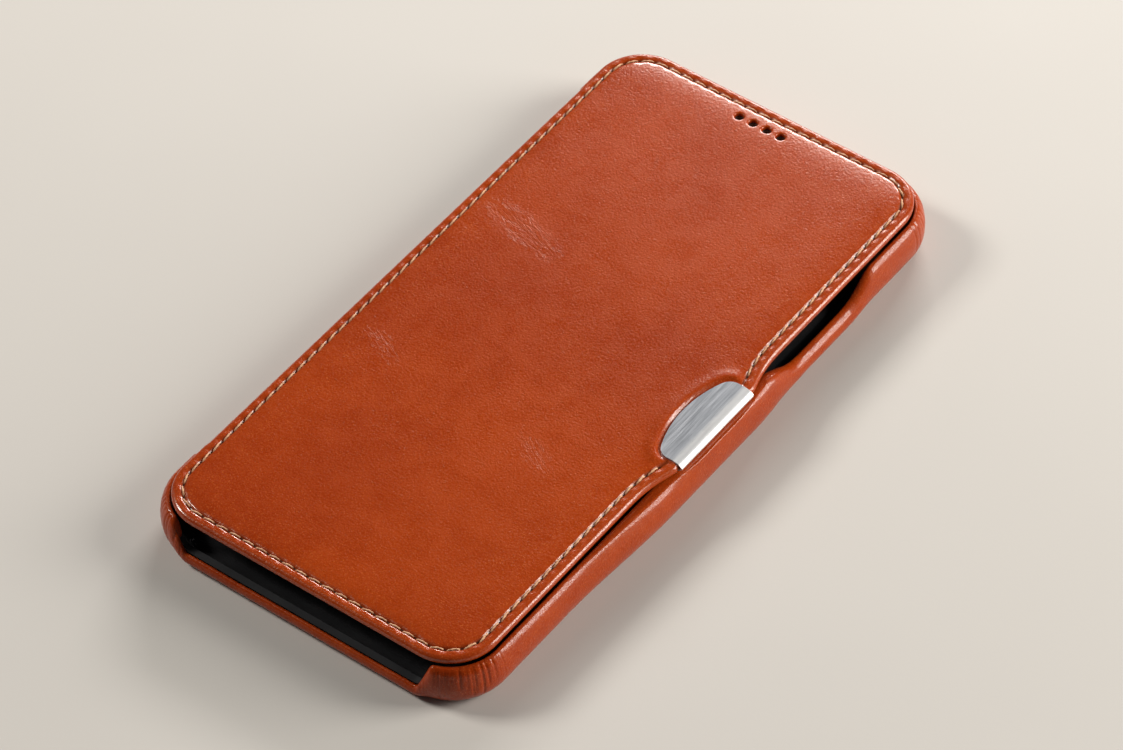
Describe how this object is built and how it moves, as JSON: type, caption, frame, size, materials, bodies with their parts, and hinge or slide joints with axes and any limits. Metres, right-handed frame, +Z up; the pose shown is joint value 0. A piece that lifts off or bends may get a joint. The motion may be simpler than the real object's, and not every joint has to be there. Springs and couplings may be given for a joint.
{
  "type": "phone case",
  "caption": "Leather folio case for a phone: a leather-wrapped tray, a folding spine and a stitched, padded front cover held shut by a half-moon steel clasp on a magnet.",
  "frame": {"origin": "on the underside, below the middle of the phone pocket", "axes": "+Y along the phone to its top end, +X to the clasp side, +Z up out of the pocket; stored closed, lying on its back"},
  "size_m": [0.0841, 0.1624, 0.0124],
  "materials": {
    "leather": "glazed, fine pebbled grain, cognac brown",
    "shell": "satin black",
    "microfibre": "short-napped black suede microfibre",
    "magnet": "nickel-plated",
    "foam": "closed-cell padding",
    "board": "plain stiffener",
    "steel": "brushed lengthwise, polished along the fold",
    "thread": "waxed twisted thread, tan"
  },
  "bodies": {
    "tray": {"hard_shell": "shell", "back_leather": "leather", "back_lining": "microfibre", "catch_magnet": "magnet"},
    "spine": {"spine_leather": "leather", "spine_lining": "microfibre"},
    "cover": {"cover_leather": "leather", "cover_foam": "foam", "cover_board": "board", "cover_lining": "microfibre", "clasp_plate": "steel", "top_stitches": "thread", "under_stitches": "thread"}
  },
  "joints": [
    {"name": "lower_fold", "type": "hinge", "parent": "tray", "child": "spine", "pos_m": [-0.0406, 0, 0.0012], "axis": [0, -1, 0], "range_deg": [0, 102]},
    {"name": "upper_fold", "type": "hinge", "parent": "spine", "child": "cover", "pos_m": [-0.03805, 0, 0.011], "axis": [0, -1, 0], "range_deg": [0, 78]}
  ]
}
